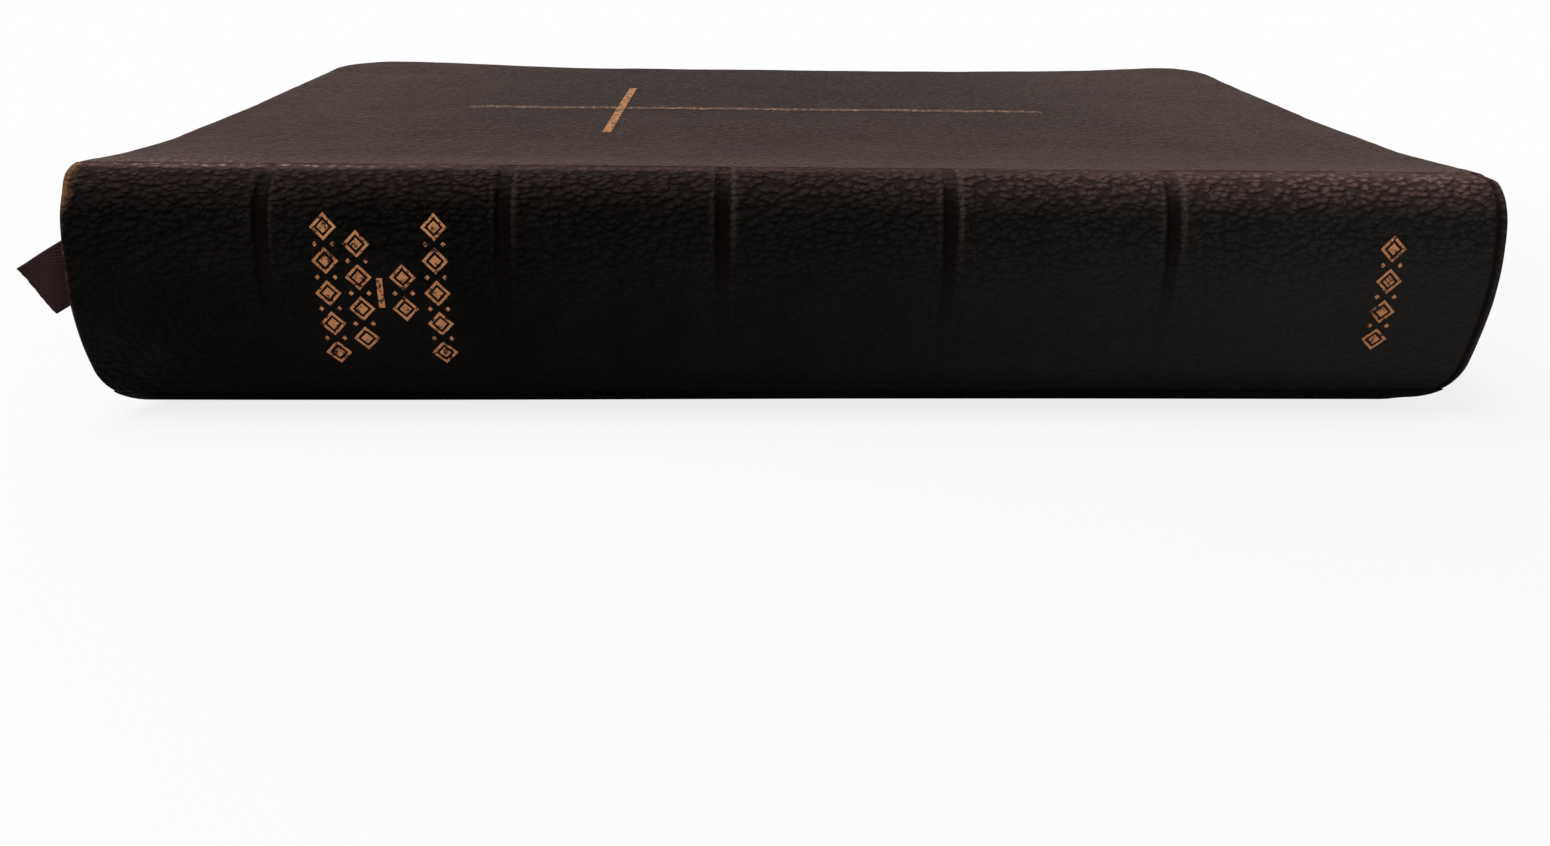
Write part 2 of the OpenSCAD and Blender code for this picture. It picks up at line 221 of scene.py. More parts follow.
# Distance over which the bands of a wave texture of scale 1 repeat
WAVE_REPEAT = 0.314
banded, tree, shader = finish_named("headband_cloth", Roughness=0.75)
place = socketed(tree, "ShaderNodeTexCoord")
stripes = socketed(tree, "ShaderNodeTexWave", {
    "Vector": place.outputs["Object"], "Scale": WAVE_REPEAT / STRIPE, "Distortion": 0.5, "Detail": 1.0},
    bands_direction="Z")
tree.links.new(mixed(tree, ramped(tree, stripes.outputs["Fac"], 0.4, 0.6),
    (0.3, 0.06, 0.04, 1), (0.5, 0.41, 0.27, 1)), shader.inputs["Base Color"])
threads = socketed(tree, "ShaderNodeTexWave", {
    "Vector": place.outputs["Object"], "Scale": 1250.0, "Distortion": 0.4}, bands_direction="Z")
embossed(tree, shader, threads.outputs["Fac"], 0.7, 0.0001)
wear_finish("headband_head", banded)
wear_finish("headband_tail", banded)


# Spine leather.
# Thick pebble-grained leather drawn over the rounded back, turned in at the head and tail caps
# and tooled with five smooth grooves. It is rubbed along the ridge, with painted glints there, and bare at
# the head corner.
SPINE_DEPTH = 0.0065
BACK_R = 0.0263
RIDGE_ANGLE = 100.0
SHOULDER_R = 0.0057
SEAM_Y = -0.0431
SPLIT_ANGLE = 215.0
FOOT_ANGLE = 270.0
LEATHER_T = 0.0008
CAP_T = 0.0018
CAP_W = 0.01
TAPER = 0.05
# Where the ends of the spine begin, the round corners at its foot, and how far its ends swell
END_X = 0.052
HEAD_CORNER_R = 0.0052
TAIL_CORNER_R = 0.006
HEAD_SWELL = 0.00045
TAIL_SWELL = 0.0004
SHOULDER_LIFT = 0.0006
# The tooled grooves, the lips beside them and the line tooled along the tail
GROOVES = (-0.0526, -0.0291, -0.0075, 0.0152, 0.0376)
GROOVE_W = 0.0013
GROOVE_D = 0.00026
GROOVE_SOFT = 0.0002
GROOVE_LIP = 0.0001
LIP_OUT = 0.00042
TAIL_LINE = 0.0011
TAIL_LINE_D = 0.00018

back_y = HINGE_Y - SPINE_DEPTH + BACK_R
back_z = BOOK_H / 2
# The upper edge is an arc from the seam, where the leather is creased, to the rounded back
start_y = math.cos(math.radians(RIDGE_ANGLE))
start_z = math.sin(math.radians(RIDGE_ANGLE))
seam_reach = Vector((SEAM_Y - back_y, BOOK_H - back_z))
ridge_r = (BACK_R ** 2 - seam_reach.length_squared) / (2 * (BACK_R - seam_reach.dot((start_y, start_z))))
ridge_y = SEAM_Y - ridge_r * start_y
ridge_z = BOOK_H - ridge_r * start_z
ridge_angle = 180 - math.degrees(math.atan2(ridge_z - back_z, back_y - ridge_y))
shoulder_y = back_y - math.sqrt((BACK_R - SHOULDER_R) ** 2 - (back_z - SHOULDER_R) ** 2)
shoulder_angle = 180 + math.degrees(math.atan2(back_z - SHOULDER_R, back_y - shoulder_y))
# The section's arcs: centre, radius and angles, from the ridge to the lower shoulder
ARCS = (
    (ridge_y, ridge_z, ridge_r, RIDGE_ANGLE, ridge_angle),
    (back_y, back_z, BACK_R, ridge_angle, shoulder_angle),
    (shoulder_y, SHOULDER_R, SHOULDER_R, shoulder_angle, FOOT_ANGLE),
)


def smooth(low, high, value):
    """Smooth step from 0 at low to 1 at high."""
    t = min(max((value - low) / (high - low), 0.0), 1.0)
    return t * t * (3 - 2 * t)


def hump(value, middle, width):
    """Bell curve with a height of 1."""
    return math.exp(-((value - middle) / width) ** 2)


def arc_length(arc):
    """Length of one of the section's arcs."""
    return arc[2] * math.radians(arc[4] - arc[3])


WRAP = sum(arc_length(arc) for arc in ARCS)
SPLIT = WRAP - SHOULDER_R * math.radians(FOOT_ANGLE - SPLIT_ANGLE)


def wrap_point(s, depth):
    """Point of the spine's section at a distance from the seam and a depth under the surface."""
    for arc in ARCS:
        if s <= arc_length(arc) + 1e-9:
            break
        s -= arc_length(arc)
    if s > arc_length(arc):
        return shoulder_y + s - arc_length(arc), depth
    y, z, radius, start, _ = arc
    angle = math.radians(start) + s / radius
    reach = max(radius - depth, 0.0001)
    return y + reach * math.cos(angle), z + reach * math.sin(angle)


def broad_relief(x, y, z):
    """Slow unevenness of hand-worked leather, in metres."""
    spot = Vector((x, y, z))
    return 0.00007 * noise.noise(spot * 120) + 0.00003 * noise.noise(spot * 420)


def groove_reach(x):
    """Distance past the middle of the nearest groove, negative before it."""
    return min((x - g for g in GROOVES), key=abs)


def groove_floor(away, soft):
    """1 on the floor of a groove and 0 outside it."""
    return 1 - smooth(GROOVE_W / 2 - GROOVE_SOFT, GROOVE_W / 2 + soft, abs(away))


def groove_lips(away, width):
    """1 on top of the lip beside a groove."""
    return hump(abs(away), GROOVE_W / 2 + LIP_OUT, width)


def groove_depth(x):
    """Depth of the tooled grooves along the spine, with the leather raised a little beside them."""
    away = groove_reach(x)
    lips = groove_lips(away, 0.00022) * (1.0 if away > 0 else 0.6)
    return GROOVE_D * groove_floor(away, GROOVE_SOFT) - GROOVE_LIP * lips


def end_share(x):
    """0 along the middle of the spine, rising to 1 at its ends."""
    return smooth(END_X, HALF_L, abs(x))


def end_reach(x, z):
    """Distance that the spine stands out at its ends: the head cap swells, the lower corners draw in."""
    radius = HEAD_CORNER_R if x < 0 else TAIL_CORNER_R
    rise = min(max(z, 0.0), radius)
    drawn = radius - math.sqrt(radius ** 2 - (radius - rise) ** 2)
    if x < 0:
        return HEAD_SWELL + 0.00035 * hump(z, 0.0095, 0.0085) + 0.0005 * hump(z, 0.0252, 0.0012) - drawn
    return TAIL_SWELL * smooth(0.006, 0.018, z) - 0.001 * smooth(0.0249, BOOK_H, z) - drawn


def shoulder_rise(x, y, z):
    """Rise of the lower shoulder towards the tail, where it is rounder."""
    share = smooth(-0.06, 0.07, x) * smooth(shoulder_y, shoulder_y - 0.0023, y) * (1 - z / back_z)
    return SHOULDER_LIFT * share


def spine_point(x, s, depth=0.0, tooled=True):
    """Point on or under the spine leather, tapered and drawn in as the real one."""
    y, z = wrap_point(s, depth)
    if tooled:
        on_back = smooth(0.0, 0.0006, s) * (1 - smooth(SPLIT - 0.002, SPLIT, s))
        on_back *= 1 - 0.6 * smooth(0.007, 0.018, s)
        dip = groove_depth(x) * on_back + TAIL_LINE_D * hump(HALF_L - x, TAIL_LINE, 0.0003)
        dip -= broad_relief(x, y, z) * (1 - 0.7 * smooth(0.0001, 0.0003, groove_depth(x)))
        y, z = wrap_point(s, depth + dip)
    face_y, face_z = wrap_point(s, 0.0)
    if face_z < back_z:
        z += shoulder_rise(x, face_y, face_z)
    y = HINGE_Y + (y - HINGE_Y) * (1 - TAPER * x / HALF_L)
    side = -1 if x < 0 else 1
    return Vector((x + side * end_reach(x, face_z) * end_share(x), y, z))


def grid_sheet(columns, rows):
    """A flat sheet of quads, with its column and row numbers kept on its vertices."""
    sheet = bmesh.new()
    bmesh.ops.create_grid(sheet, x_segments=columns, y_segments=rows, size=1.0)
    numbers = sheet.verts.layers.float_vector.new("numbers")
    for vert in sheet.verts:
        vert[numbers] = (round((vert.co.x + 1) / 2 * columns), round((vert.co.y + 1) / 2 * rows), 0)
    return sheet, numbers


def close_piece(sheet, name, material, body=None):
    """Merges seams, points the faces outwards and makes the object."""
    bmesh.ops.remove_doubles(sheet, verts=sheet.verts[:], dist=0.000004)
    bmesh.ops.recalc_face_normals(sheet, faces=sheet.faces[:])
    for face in sheet.faces:
        face.smooth = True
    mesh = bpy.data.meshes.new(name)
    sheet.to_mesh(mesh)
    sheet.free()
    mesh.materials.append(material)
    piece = bpy.data.objects.new(name, mesh)
    bpy.context.collection.objects.link(piece)
    if body:
        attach(piece, body)
    return piece


def rim_stations(radius, steps):
    """Distances in from an edge along its round rim."""
    return [radius * (1 - math.cos(math.radians(90 * k / steps))) for k in range(steps)]


def leather_grain_group():
    """Pebbled grain: rounded cells with creases between them, and pores. Puts out a height."""
    group, given, out = new_group(
        "pebble grain", (("Cells", "Float"), ("Softness", "Float")), (("Height", "Float"),))
    place = socketed(group, "ShaderNodeTexCoord")
    drift = socketed(group, "ShaderNodeTexNoise", {
        "Vector": place.outputs["Object"], "Scale": 700.0, "Detail": 2.0})
    pushed = socketed(group, "ShaderNodeVectorMath", {
        0: drift.outputs["Color"], 1: (0.0007, 0.0007, 0.0007)}, operation="MULTIPLY")
    moved = socketed(group, "ShaderNodeVectorMath", {
        0: place.outputs["Object"], 1: (0.75, 1.0, 1.2), 2: pushed.outputs[0]}, operation="MULTIPLY_ADD")
    cells = socketed(group, "ShaderNodeTexVoronoi", {
        "Vector": moved.outputs[0], "Scale": given.outputs["Cells"],
        "Smoothness": given.outputs["Softness"]}, feature="SMOOTH_F1")
    domes = socketed(group, "ShaderNodeMapRange", {
        "Value": cells.outputs["Distance"], "From Min": 0.85, "From Max": 0.1},
        interpolation_type="SMOOTHSTEP")
    pores = socketed(group, "ShaderNodeTexNoise", {
        "Vector": place.outputs["Object"], "Scale": 5200.0, "Detail": 3.0, "Roughness": 0.6})
    fine = product(group, pores.outputs["Fac"], 0.35)
    group.links.new(product(group, domes.outputs["Result"], fine, "ADD"), out.inputs["Height"])
    return group


pebble_grain = leather_grain_group()


def leather_group():
    """Dyed leather: colour and gloss vary, grain in relief, and bare tan where it is worn through."""
    group, given, out = new_group(
        "aged leather", (("Cells", "Float"), ("Smooth Relief", "Float")),
        (("Color", "Color"), ("Roughness", "Float"), ("Height", "Float")))
    marks = {}
    for key in ("wear", "tooled", "coarse", "rubbed", "burnish_and_highlight"):
        mark = socketed(group, "ShaderNodeAttribute", attribute_name=key, attribute_type="GEOMETRY")
        marks[key] = mark.outputs["Fac"]
    place = socketed(group, "ShaderNodeTexCoord")
    along = socketed(group, "ShaderNodeSeparateXYZ", {"Vector": place.outputs["Object"]})
    grain = socketed(group, "ShaderNodeGroup", {"Cells": given.outputs["Cells"], "Softness": 0.12},
                     node_tree=pebble_grain)
    grain_height = grain.outputs["Height"]

    # Smooth leather of the covers: brown dye, paler near the spine and at the ends for handling and painted
    # sheen, with fine pale specks
    patchy = ramped(group, grained(group, 90, 6.0, 0.65), 0.35, 0.68)
    dyed = mixed(group, patchy, (0.0082, 0.0035, 0.0024, 1), (0.0134, 0.0062, 0.0043, 1))
    handled_and_lit = mixed(group, patchy, (0.027, 0.0138, 0.0106, 1), (0.039, 0.0207, 0.016, 1))
    dyed = mixed(group, marks["rubbed"], dyed, handled_and_lit)
    specks = ramped(group, grained(group, 3300, 3.0, 0.7, (1.5, 0.7, 1)), 0.4, 0.65, 0.0, 0.3)
    more_specks = ramped(group, along.outputs["X"], 0.0, 0.08, 1.0, 1.9)
    dyed = mixed(group, product(group, specks, more_specks), dyed, (0.1, 0.064, 0.053, 1))

    # Pebbled leather of the spine: nearly black, made darker than the covers' as painted shade, painted
    # lighter towards the tail, rubbed and with painted highlights on the tops of the pebbles and painted
    # glints near the ridge, painted shade in the creases and along the foot, darker tooled leather with
    # painted shade on the grooves' floors, and burnished lips with painted highlights
    # Painted shade: the spine's leather is made darker than that of the covers
    dark_and_shaded_spine = mixed(group, patchy, (0.0045, 0.0041, 0.0036, 1), (0.0078, 0.0066, 0.0058, 1))
    # Painted light: the spine is made paler towards the tail
    tone_shift = ramped(group, along.outputs["X"], -0.035, 0.08, 0.0, 0.75)
    dark_and_shaded_spine = mixed(group, tone_shift, dark_and_shaded_spine, (0.0255, 0.0236, 0.0214, 1))
    # Rubbed pebble tops made paler, with a painted highlight on them
    rubbed_and_lit_tops = ramped(group, grain_height, 0.35, 1.2, 0.5, 0.95)
    dark_and_shaded_spine = mixed(group, product(group, marks["rubbed"], rubbed_and_lit_tops), dark_and_shaded_spine, (0.15, 0.086, 0.076, 1))
    # Painted glints: pale flecks on the highest pebbles near the ridge, most at the head
    painted_glints = ramped(group, grain_height, 0.8, 1.05)
    painted_glints = product(group, painted_glints, ramped(group, marks["rubbed"], 0.75, 1.1))
    painted_glints = product(group, painted_glints, ramped(group, along.outputs["X"], -0.03, 0.02, 0.85, 0.2))
    dark_and_shaded_spine = mixed(group, painted_glints, dark_and_shaded_spine, (0.34, 0.24, 0.21, 1))
    # Painted shade: the creases between the pebbles made nearly black
    crease_shade = product(group, ramped(group, grain_height, 0.3, 0.7, 0.4, 0.0),
                     ramped(group, marks["coarse"], 0.4, 1.0))
    dark_and_shaded_spine = mixed(group, crease_shade, dark_and_shaded_spine, (0.002, 0.0012, 0.0011, 1))
    # The grooves' floors and the line along the tail made dark: tooled leather, with painted shade in the
    # recess
    tooled_floor_shade = ramped(group, marks["tooled"], 0.1, 1.0, 0.0, 0.72)
    dark_and_shaded_spine = mixed(group, tooled_floor_shade, dark_and_shaded_spine, (0.0026, 0.0015, 0.0013, 1))
    # Painted highlight on the grooves' burnished lips
    dark_and_shaded_spine = mixed(group, marks["burnish_and_highlight"], dark_and_shaded_spine, (0.1, 0.077, 0.07, 1))
    # Painted shade: dark along the spine's foot, next to the floor
    foot_shade = ramped(group, along.outputs["Z"], 0.0015, 0.0065, 0.75, 0.0)
    dark_and_shaded_spine = mixed(group, foot_shade, dark_and_shaded_spine, (0.002, 0.0017, 0.0016, 1))
    colour = mixed(group, ramped(group, marks["coarse"], 0.0, 0.55), dyed, dark_and_shaded_spine)

    # Worn rims: browned first, then bare tan where the surface is gone
    frayed = product(group, grained(group, 1500, 5.0, 0.7), 0.5, "SUBTRACT")
    ragged = product(group, marks["wear"], frayed, "ADD")
    colour = mixed(group, ramped(group, ragged, 0.42, 0.62), colour, (0.055, 0.029, 0.02, 1))
    colour = mixed(group, ramped(group, ragged, 0.78, 0.95), colour, (0.16, 0.078, 0.036, 1))
    group.links.new(colour, out.inputs["Color"])
    gloss = ramped(group, grained(group, 1100, 4.0, 0.6), 0.3, 0.7, 0.38, 0.5)
    polished = product(group, marks["tooled"], -0.1)
    group.links.new(product(group, gloss, polished, "ADD"), out.inputs["Roughness"])
    smoothed = product(group, 1.0, product(group, marks["tooled"], marks["burnish_and_highlight"], "MAXIMUM"), "SUBTRACT")
    stand = socketed(group, "ShaderNodeMapRange", {
        "Value": marks["coarse"], "To Min": given.outputs["Smooth Relief"], "To Max": 1.0})
    group.links.new(product(group, grain_height, product(group, stand.outputs["Result"], smoothed)),
                    out.inputs["Height"])
    return group


aged_leather = leather_group()
PEBBLE_H = 0.0006


def leather_finish(name, polish, tint, pebbles, relief):
    """Leather with its own gloss, count of pebbles per metre and relief where it is smooth."""
    made, tree, shader = finish_named(name, Specular_IOR_Level=polish, Specular_Tint=tint)
    leather = socketed(tree, "ShaderNodeGroup", {"Cells": pebbles, "Smooth Relief": relief},
                       node_tree=aged_leather)
    tree.links.new(leather.outputs["Color"], shader.inputs["Base Color"])
    tree.links.new(leather.outputs["Roughness"], shader.inputs["Roughness"])
    embossed(tree, shader, leather.outputs["Height"], 1.0, PEBBLE_H)
    return made


spine_leather = leather_finish("spine_leather", 0.009, (1.0, 0.9, 0.84, 1), 1450.0, 0.1)
cover_leather = leather_finish("cover_leather", 0.005, (1.0, 0.77, 0.67, 1), 1900.0, 0.2)

# Stations along the spine stand closer in the grooves and at the line along the tail
STEP = 0.00042
FINE_STEP = 0.00018
FINE_REACH = 0.0017
TAIL_REACH = 0.002
cap_rim = rim_stations(LEATHER_T, 6)
stations = [-HALF_L + s for s in cap_rim]
x = -HALF_L + LEATHER_T
while x < HALF_L - LEATHER_T:
    stations.append(x)
    x += FINE_STEP if abs(groove_reach(x)) < FINE_REACH or HALF_L - x < TAIL_REACH else STEP
stations += [HALF_L - s for s in reversed(cap_rim)]
JOINT_GRAIN = 0.25
# Rows run down the outer face, round the lower edge, up the inner face and round the upper edge
OUTER_ROWS = 104
INNER_ROWS = 30
LAST_ROW = OUTER_ROWS + INNER_ROWS + 4
sheet, numbers = grid_sheet(len(stations) - 1, LAST_ROW)
worn = sheet.verts.layers.float.new("wear")
tooled = sheet.verts.layers.float.new("tooled")
coarse = sheet.verts.layers.float.new("coarse")
rubbed = sheet.verts.layers.float.new("rubbed")
burnish_and_highlight = sheet.verts.layers.float.new("burnish_and_highlight")
for vert in sheet.verts:
    column, row, _ = vert[numbers]
    x = stations[int(column)]
    from_end = HALF_L - abs(x)
    full = 1.0 if from_end >= LEATHER_T else math.sqrt(1 - (1 - from_end / LEATHER_T) ** 2)
    thick = LEATHER_T + (CAP_T - LEATHER_T) * (1 - smooth(CAP_W - 0.0004, CAP_W + 0.0004, from_end))
    if row <= OUTER_ROWS:
        s = row / OUTER_ROWS * SPLIT
        depth = thick / 2 * (1 - full)
    elif row <= OUTER_ROWS + 2:
        s = SPLIT
        depth = thick / 2 * (1 + full * (row - OUTER_ROWS - 1))
    elif row <= LAST_ROW - 2:
        s = SPLIT * (1 - (row - OUTER_ROWS - 2) / INNER_ROWS)
        depth = thick / 2 * (1 + full)
    else:
        s = 0.0
        depth = thick / 2 * (1 + full * (LAST_ROW - 1 - row))
    outside = row <= OUTER_ROWS
    vert.co = spine_point(x, s, depth, outside)
    if outside:
        z = wrap_point(s, 0.0)[1]
        away = groove_reach(x)
        # The grooves' floors are plainest on the upper half. Their lips are burnished and carry a painted
        # highlight, strongest on the tail side
        pressed = groove_floor(away, 0.0003) * (1 - 0.65 * smooth(0.006, 0.018, s))
        pressed *= 0.25 + 0.75 * smooth(0.0005, 0.006, s)
        # The tooled mark also brings painted shade to the floors and to the line along the tail
        vert[tooled] = max(pressed, hump(HALF_L - x, TAIL_LINE, 0.00035))
        lips = groove_lips(away, 0.00026) * (0.38 if away > 0 else 0.13)
        vert[burnish_and_highlight] = lips * smooth(0.013, 0.003, s) * (0.3 + 0.7 * smooth(-0.055, 0.01, x))
        # Worn through round the ends, along the ridge and at the head corner
        rim = (0.42 + 0.1 * smooth(0.006, 0.018, z) * (x < 0)) * (1 - smooth(0.0002, 0.0016, from_end))
        corner = (1 - smooth(0.0005, 0.003, x + HALF_L)) * smooth(0.0203, 0.0238, z)
        vert[worn] = rim + 0.25 * hump(s, 0.0002, 0.0009) + 0.72 * corner
        # The grain is coarsest below the ridge and finer in the joint and on the lower half
        vert[coarse] = JOINT_GRAIN + (1 - JOINT_GRAIN) * smooth(0.0, 0.0022, s)
        vert[coarse] *= 1 - 0.45 * smooth(0.006, 0.014, s)
        # Rubbed by handling, with painted light, on the upper band towards the tail; rubbed with painted
        # glints along the ridge towards the head
        handled_and_lit = (0.26 + 0.95 * smooth(-0.01, 0.068, x)) * (1 - smooth(0.0012, 0.0065, s))
        ridge_rub_and_glint = (0.6 + 0.5 * smooth(-0.02, -0.055, x)) * hump(s, 0.0004, 0.0007)
        # Painted highlight: a pale line along the tail rim
        tail_rim_highlight = 0.3 * (1 - smooth(0.0003, 0.0008, HALF_L - x))
        vert[rubbed] = max(max(0.85 * handled_and_lit, ridge_rub_and_glint) * (1 - 0.7 * pressed), tail_rim_highlight)
spine = close_piece(sheet, "spine_skin", spine_leather, "block")
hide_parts("spine_leather")


# Gold on the spine.
# Columns of small lozenges with beads between them, and a rule, struck in gold leaf with hand
# tools. The gold has flaked, and it takes the waves of the leather.
gilt, tree, shader = finish_named("gilt", Specular_IOR_Level=0.1, Specular_Tint=(1.0, 0.7, 0.42, 1))
lost = socketed(tree, "ShaderNodeAttribute", attribute_name="wear", attribute_type="GEOMETRY")
broken = ramped(tree, product(tree, grained(tree, 1900, 5.0, 0.7), lost.outputs["Fac"], "ADD"), 0.5, 0.62)
aged = mixed(tree, grained(tree, 500, 3.0), (0.33, 0.128, 0.053, 1), (0.5, 0.225, 0.1, 1))
tree.links.new(mixed(tree, broken, aged, (0.025, 0.014, 0.011, 1)), shader.inputs["Base Color"])
tree.links.new(ramped(tree, broken, 0.0, 1.0, 0.85, 0.0), shader.inputs["Metallic"])
tree.links.new(ramped(tree, broken, 0.0, 1.0, 0.36, 0.6), shader.inputs["Roughness"])
embossed(tree, shader, grained(tree, 1300, 3.0), 0.6, 0.00008)

LOZENGE = 0.0026
LOZENGE_PITCH = 0.0032
ORNAMENT_Z = 0.014
TITLE_X = 0.025 - HALF_L
# Each column's distance from the first, with its count of lozenges
TITLE_COLUMNS = ((0.0, 5), (0.0031, 4), (0.0074, 2), (0.0107, 5))
# The rule's distance from the first column, its width and its length
TITLE_RULE = (0.0051, 0.0006, 0.003)
TAIL_X = HALF_L - 0.0116
TAIL_COUNT = 4
FOIL_T = 0.00003
SPINE_STEPS = 400


def strike_lozenge(foil, x, z, size, outlined):
    """A lozenge in the plane of the spine's face, whole or as an outline round a smaller one."""
    made = bmesh.ops.create_circle(foil, cap_ends=True, segments=4, radius=size / 2,
                                   matrix=Matrix.Translation((x, z, 0)))
    face = made["verts"][0].link_faces[0]
    if outlined:
        bmesh.ops.inset_region(foil, faces=[face], thickness=size * 0.1, use_boundary=True,
                               use_even_offset=True)
        bmesh.ops.inset_region(foil, faces=[face], thickness=size * 0.09, use_boundary=True,
                               use_even_offset=True)
        ring = [f for f in foil.faces if face in {n for e in f.edges for n in e.link_faces} and f != face]
        bmesh.ops.delete(foil, geom=ring, context="FACES")


def strike_column(foil, x, count):
    """A column of outlined lozenges, with a bead at each side between them."""
    for i in range(count):
        strike_lozenge(foil, x, ORNAMENT_Z + (i - (count - 1) / 2) * LOZENGE_PITCH, LOZENGE, True)
    for i in range(count - 1):
        for side in (-1, 1):
            strike_lozenge(foil, x + side * LOZENGE / 3,
                           ORNAMENT_Z + (i - (count - 2) / 2) * LOZENGE_PITCH, LOZENGE / 5, False)


def lay_on_spine(foil, name, node):
    """Cuts the foil fine and lays it on the leather below the ridge."""
    bmesh.ops.subdivide_edges(foil, edges=foil.edges[:], cuts=2, use_grid_fill=True)
    heights = [wrap_point(SPLIT * k / SPINE_STEPS, 0.0)[1] for k in range(SPINE_STEPS + 1)]
    for vert in foil.verts:
        x, z, _ = vert.co
        k = min(range(SPINE_STEPS // 10, SPINE_STEPS + 1), key=lambda n: abs(heights[n] - z))
        vert.co = spine_point(x, SPLIT * k / SPINE_STEPS, -FOIL_T)
    piece = close_piece(foil, name, gilt, "block")
    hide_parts(node)


foil = bmesh.new()
for offset, count in TITLE_COLUMNS:
    strike_column(foil, TITLE_X + offset, count)
offset, width, length = TITLE_RULE
bmesh.ops.create_grid(foil, x_segments=2, y_segments=6, size=0.5, matrix=(
    Matrix.Translation((TITLE_X + offset, ORNAMENT_Z, 0)) @ Matrix.Diagonal((width, length, 1, 1))))
lay_on_spine(foil, "title_gold", "gilt_title_ornament")
foil = bmesh.new()
strike_column(foil, TAIL_X, TAIL_COUNT)
lay_on_spine(foil, "tail_gold", "gilt_tail_ornament")


# Covers.
# Thin flexible boards inside leather that is rolled round their edges. The front cover climbs
# to the ridge of the spine, and its fore-edge corners have curled up with age.
COVER_T = 0.002
CORNER_R = 0.009
RIDGE_RISE = BOOK_H - FLAT_Z
RIDGE_RUN = 0.0184
RIDGE_RUN_LOSS = 0.0018
RIDGE_POWER = 1.3
HEAD_CURL = 0.00078
TAIL_CURL = 0.00115
BOARD_Y = HINGE_Y + 0.004
RIM_STEPS = 6
CORNER_ROWS = 14
FACE_RANKS = 1000000
WORN_W = 0.0016


def curl(x, y):
    """Lift of the front cover towards its fore-edge corners."""
    if x < 0:
        lift = HEAD_CURL * smooth(0.03, 0.064, -x)
    else:
        lift = TAIL_CURL * min(max((x - 0.02) / 0.0475, 0.0), 1.0) ** 2.2
    return lift * min(max((y + 0.002) / 0.043, 0.0), 1.1)


def front_top(x, y):
    """Height of the front cover's leather, which climbs to the ridge over a run shorter at the tail."""
    run = RIDGE_RUN - RIDGE_RUN_LOSS * x / HALF_L
    ramp = RIDGE_RISE * min(max((HINGE_Y + run - y) / run, 0.0), 1.0) ** RIDGE_POWER
    return FLAT_Z + ramp + curl(x, y) + broad_relief(x, y, 0.02)


def board_thickness(y):
    """Thickness of a cover: leather alone at the joint, boards and turned-in leather past it."""
    return LEATHER_T + (COVER_T - LEATHER_T) * smooth(BOARD_Y - 0.0014, BOARD_Y - 0.0002, y)


def half_length(y, inset, corner):
    """Half the length of a cover's rounded outline at a distance from the spine."""
    far = FORE_Y - inset
    start = far - corner
    if y <= start:
        return HALF_L - inset
    return HALF_L - inset - corner + math.sqrt(max(corner ** 2 - (y - start) ** 2, 0.0))


def plate(first_y, inset, corner, top, bottom, roll, columns, rows):
    """A plate with round fore-edge corners, a face above and one below, and a rolled rim."""
    corner -= roll
    edge = inset + roll
    far = FORE_Y - edge
    ladder = [first_y + (far - corner - first_y) * k / rows for k in range(rows)]
    ladder += [far - corner + corner * math.sin(math.radians(90 * k / CORNER_ROWS))
               for k in range(CORNER_ROWS + 1)]
    slab, numbers = grid_sheet(columns, len(ladder) - 1)
    plan = slab.verts.layers.float_vector.new("plan")
    for vert in slab.verts:
        column, row, _ = vert[numbers]
        y = ladder[int(row)]
        x = (2 * column / columns - 1) * half_length(y, edge, corner)
        vert[plan] = (x, y, 0)
        vert.co = (x, y, top(x, y))
    upper = slab.faces[:]
    lower = bmesh.ops.duplicate(slab, geom=slab.verts[:] + slab.edges[:] + upper)["geom"]
    under = [v for v in lower if isinstance(v, bmesh.types.BMVert)]
    for vert in under:
        x, y, _ = vert[plan]
        vert.co = (x, y, bottom(x, y))
    rim = [e for e in dict.fromkeys(e for f in upper for e in f.edges) if e.is_boundary]
    for k in range(1, RIM_STEPS + 1):
        angle = math.pi * k / RIM_STEPS
        grown = bmesh.ops.extrude_edge_only(slab, edges=rim)["geom"]
        rim = [e for e in grown if isinstance(e, bmesh.types.BMEdge) and e.is_boundary]
        for vert in {v for e in rim for v in e.verts}:
            x, y, _ = vert[plan]
            out = rim_direction(x, y, far, corner, edge)
            high, low = top(x, y), bottom(x, y)
            swell = roll * math.sin(angle)
            vert.co = (x + out.x * swell, y + out.y * swell,
                       (high + low) / 2 + (high - low) / 2 * math.cos(angle))
    slab.verts.index_update()
    slab.faces.sort(key=face_rank)
    return slab, plan


def face_rank(face):
    """A fixed order for a plate's faces, because those of an extruded rim are made in no fixed one."""
    numbers = sorted(vert.index for vert in face.verts)
    return numbers[-1] * FACE_RANKS + numbers[0]


def rim_direction(x, y, far, corner, edge):
    """Direction straight out of a plate's outline; the side at the spine isn't rolled."""
    if y <= far - corner:
        side = 0.0 if abs(x) < HALF_L - edge - 1e-6 else math.copysign(1.0, x)
        return Vector((side, 0.0))
    middle = HALF_L - edge - corner
    if abs(x) <= middle:
        return Vector((0.0, 1.0))
    return Vector((x - math.copysign(middle, x), y - (far - corner))).normalized()


